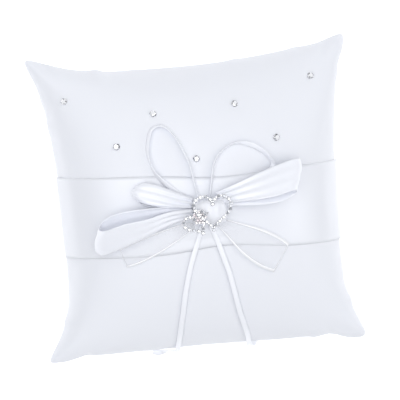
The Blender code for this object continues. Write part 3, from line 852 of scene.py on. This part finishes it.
def stone_shape():
    """A round cut stone of radius one, from its flat base up: girdle, kites, stars and table.

    Rings of points at stated radii and heights, each turned by half a step from the one below.
    """
    rings = ((1.0, 0.0, 0.0), (1.0, 0.22, 0.0), (0.80, 0.55, 0.5), (0.56, 0.72, 0.0))
    points, index = [], []
    for radius, height, turn in rings:
        angle = (np.arange(STONE_FACETS) + turn) * 2 * np.pi / STONE_FACETS
        index.append(len(points) + np.arange(STONE_FACETS))
        points += [(radius * np.cos(a), radius * np.sin(a), height) for a in angle]
    faces = []
    for k in range(STONE_FACETS):
        n = (k + 1) % STONE_FACETS
        low, girdle, middle, top = index
        faces.append((low[k], low[n], girdle[n], girdle[k]))
        faces.append((girdle[k], girdle[n], middle[k]))
        faces.append((girdle[n], middle[n], middle[k]))
        faces.append((middle[k], middle[n], top[n]))
        faces.append((middle[k], top[n], top[k]))
    faces.append(tuple(index[3]))
    faces.append(tuple(index[0][::-1]))
    return np.array(points), faces


def scatter(number):
    """A repeatable share from 0 to 1 for each number: the loose part of a large sine."""
    return np.mod(np.abs(np.sin(number * 12.9898 + 4.1) * 43758.5453), 1.0)


def stones_piece(name, seats, radius, height, nodes, painted_reflection_seed, gem):
    """Cut stones on their seats, each a place, the way it faces and a turn about that."""
    shape, shape_faces = stone_shape()
    points, faces, painted_reflection_tones = [], [], []
    for number, (place, up, turn) in enumerate(seats):
        up = Vector(up).normalized()
        turned = up.to_track_quat("Z", "Y").to_matrix() @ Matrix.Rotation(turn, 3, "Z")
        base = len(points) * len(shape)
        points.append((shape * (radius, radius, height)) @ np.array(turned).T + np.array(place))
        faces += [tuple(base + int(k) for k in face) for face in shape_faces]
        # A random painted reflection tone for each face, seeded per stone.
        painted_reflection_tones.append(scatter(np.arange(len(shape_faces)) + 61.0 * (number + painted_reflection_seed)))
    mesh = bpy.data.meshes.new(name)
    mesh.from_pydata(np.concatenate(points).tolist(), [], faces)
    mesh.materials.append(gem)
    layer = mesh.attributes.new("painted_reflection_tone", "FLOAT", "FACE")
    layer.data.foreach_set("value", np.concatenate(painted_reflection_tones).astype(np.float32))
    piece = bpy.data.objects.new(name, mesh)
    bpy.context.scene.collection.objects.link(piece)
    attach(piece, "pillow")
    if nodes:
        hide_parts(*nodes)


def box_middle(node):
    """Middle of a solid's box."""
    low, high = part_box(node)
    return (low + high) / 2


def face_normal(x, y):
    """Which way the cover faces at a plan place, from its heights half a millimetre either side."""
    step = 0.0005
    slope_x = (face_height(x + step, y) - face_height(x - step, y)) / (2 * step)
    slope_y = (face_height(x, y + step) - face_height(x, y - step)) / (2 * step)
    return unit(np.stack([-slope_x, -slope_y, 1 + 0 * slope_x], axis=-1))


def tube_piece(name, centre, radius, sides, material):
    """A round bar: circles of the stated radius about each point of its line, square to it."""
    ahead = unit(np.gradient(centre, axis=0))
    side = unit(np.cross(ahead, np.array([0, 0, 1.0]) + 0 * ahead))
    above = np.cross(side, ahead)
    turn = np.linspace(0, 2 * np.pi, sides + 1)[:-1]
    ring = side[:, None] * np.cos(turn)[:, None] + above[:, None] * np.sin(turn)[:, None]
    points = centre[:, None] + ring * np.reshape(radius, (-1, 1, 1))
    index = np.arange(points.shape[0] * sides).reshape(-1, sides)
    index = np.concatenate([index, index[:, :1]], axis=1)
    return mesh_piece(name, points.reshape(-1, 3), grid_faces(index), material)


def make_pin():
    """The bar behind the hearts that the pin is on, rounded off at both ends."""
    middle = box_middle("brooch_back")
    step = np.linspace(-1, 1, 33)
    lean = math.radians(12)
    centre = np.stack([
        middle.x - 0.0035 + step * 0.0045 * math.cos(lean), middle.y - 0.001 + step * 0.0055 * math.sin(lean),
        middle.z + 0 * step,
    ], axis=-1)
    radius = 0.0007 * np.sqrt(np.clip(1 - step**8, 0, 1))
    bar = tube_piece("brooch_pin_bar", centre, radius, 16, plate)
    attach(bar, "pillow")
    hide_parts("brooch_back")


CUP_SIDES = 12
CUP_HEIGHT = 0.0007
# Cluster: a fine stone's radius and height, their spacing in a row and from row to row, and where the middle
# of the first row is from the middle of the small heart
FINE_RADIUS = 0.00085
FINE_HEIGHT = 0.0009
FINE_SPACING = 0.0019
FINE_ROW = 0.0016
CLUSTER_X = 0.0030
CLUSTER_TOP = 0.0062


def cups_piece(name, seats, radius, height):
    """Metal cups under the stones: one turned profile, out from the middle, up and in over the rim."""
    profile = np.array([(0.0, 0.0), (1.0, 0.0), (1.06, 0.35), (1.06, 0.75), (0.94, 0.80), (0.90, 0.55)])
    turn = np.linspace(0, 2 * np.pi, CUP_SIDES + 1)[:-1]
    cup = np.stack([
        profile[:, None, 0] * np.cos(turn), profile[:, None, 0] * np.sin(turn),
        profile[:, None, 1] + 0 * turn,
    ], axis=-1) * (radius, radius, height)
    points = np.array(seats)[:, None, None] + cup
    index = np.arange(cup.shape[0] * CUP_SIDES).reshape(-1, CUP_SIDES)
    index = np.concatenate([index, index[:, :1]], axis=1)
    faces = grid_faces(index)[:, ::-1]
    faces = (faces + np.arange(len(seats))[:, None, None] * cup.shape[0] * CUP_SIDES).reshape(-1, 4)
    cups = mesh_piece(name, points.reshape(-1, 3), faces, plate)
    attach(cups, "pillow")


def make_cluster():
    """Fine stones where the hearts cross: five rows of three to five, each row half a stone aside."""
    boxes = [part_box(n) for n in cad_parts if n.startswith("small_heart_stone")]
    low = Vector(map(min, zip(*(box[0] for box in boxes))))
    high = Vector(map(max, zip(*(box[1] for box in boxes))))
    middle = (low + high) / 2
    seats = []
    for row, (count, aside) in enumerate(((3, 1.0), (4, 0.5), (5, 0.0), (4, 0.5), (3, 1.0))):
        for k in range(count):
            seats.append((
                middle.x + CLUSTER_X + (k + aside - 2) * FINE_SPACING,
                middle.y + CLUSTER_TOP - row * FINE_ROW, low.z - CUP_HEIGHT,
            ))
    cups_piece("cluster_cups", seats, FINE_RADIUS, CUP_HEIGHT)
    raised = [((x, y, z + 0.0003), (0, 0, 1), k * 1.1) for k, (x, y, z) in enumerate(seats)]
    stones_piece("cluster_crystals", raised, FINE_RADIUS, FINE_HEIGHT, [], 231, rose_gem)


def make_stones():
    """Seven stones square to the cover, and the two hearts' stones in their cups."""
    for k in range(1, 8):
        node = f"rhinestone_{k}"
        middle = box_middle(node)
        x, y = np.array([middle.x]), np.array([middle.y])
        place = (middle.x, middle.y, float(face_height(x, y)[0]) + 0.00005)
        seats = [(place, face_normal(x, y)[0], k * 0.7)]
        # The seed per stone sets which cover stones show mostly dark painted reflections and which show light
        # ones.
        stones_piece(f"cover_stone_{k}", seats, 0.0022, 0.0020, [node], 175 + 3 * k, cover_gem)
    for heart in ("large", "small"):
        nodes = sorted(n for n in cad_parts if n.startswith(f"{heart}_heart_stone"))
        seats = []
        for k, node in enumerate(nodes):
            low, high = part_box(node)
            seats.append(((low.x + high.x) / 2, (low.y + high.y) / 2, low.z))
        cups_piece(f"{heart}_heart_cups", seats, 0.00118, CUP_HEIGHT)
        seats = [(place, (0, 0, 1), k * 0.9) for k, place in enumerate(seats)]
        stones_piece(f"{heart}_heart_crystals", seats, 0.00115, 0.0012, nodes, 80 + len(nodes), heart_gem)


make_pin()
make_stones()
make_cluster()

for node in ("heart_frame_small", "heart_frame_large"):
    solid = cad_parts[node]
    solid.data.materials.clear()
    solid.data.materials.append(plate)

# ------------------------------------------------------------------ stage and light


def lay_stage():
    """A white floor under the pillow."""
    white, shader = new_material("studio_floor_paint", Base_Color=colour("#ffffff"), Roughness=0.9)
    shader.inputs["Emission Color"].default_value = (1, 1, 1, 1)
    shader.inputs["Emission Strength"].default_value = 0.35
    reach = 3.0
    points = np.array([(-reach, -reach, 0), (reach, -reach, 0), (reach, reach, 0), (-reach, reach, 0)])
    floor = mesh_piece("floor", points - (0, 0, 0.0005), np.array([[0, 1, 2, 3]]), white)


def light_panel(name, low, high, height, radiance):
    """A level panel of soft light between two plan corners, as bright all over as stated."""
    lamp = bpy.data.lights.new(name, "AREA")
    lamp.shape = "RECTANGLE"
    lamp.size, lamp.size_y = high[0] - low[0], high[1] - low[1]
    lamp.energy = math.pi * lamp.size * lamp.size_y * radiance
    light = bpy.data.objects.new(name, lamp)
    light.location = ((low[0] + high[0]) / 2, (low[1] + high[1]) / 2, height)
    bpy.context.scene.collection.objects.link(light)


def light_scene():
    """A pale room, one wide soft panel, a fill panel by the camera and two strips that the satin shows."""
    world = bpy.data.worlds.new("room")
    bpy.context.scene.world = world
    world.use_nodes = True
    world.node_tree.nodes["Background"].inputs["Color"].default_value = colour("#f6f8fc")
    world.node_tree.nodes["Background"].inputs["Strength"].default_value = 0.42
    light_panel("overhead_panel", (-2.6, -2.6), (7.0, 3.2), 2.2, 0.46)
    light_panel("fill_panel", (-0.85, -0.45), (0.45, 0.85), 1.7, 1.35)
    light_panel("left_strip", (-1.02, -0.7), (-0.72, 0.7), 1.4, 2.2)
    light_panel("right_strip", (1.35, -0.7), (1.85, 0.7), 1.4, 2.2)
    bpy.context.scene.view_settings.view_transform = "Standard"


lay_stage()
light_scene()
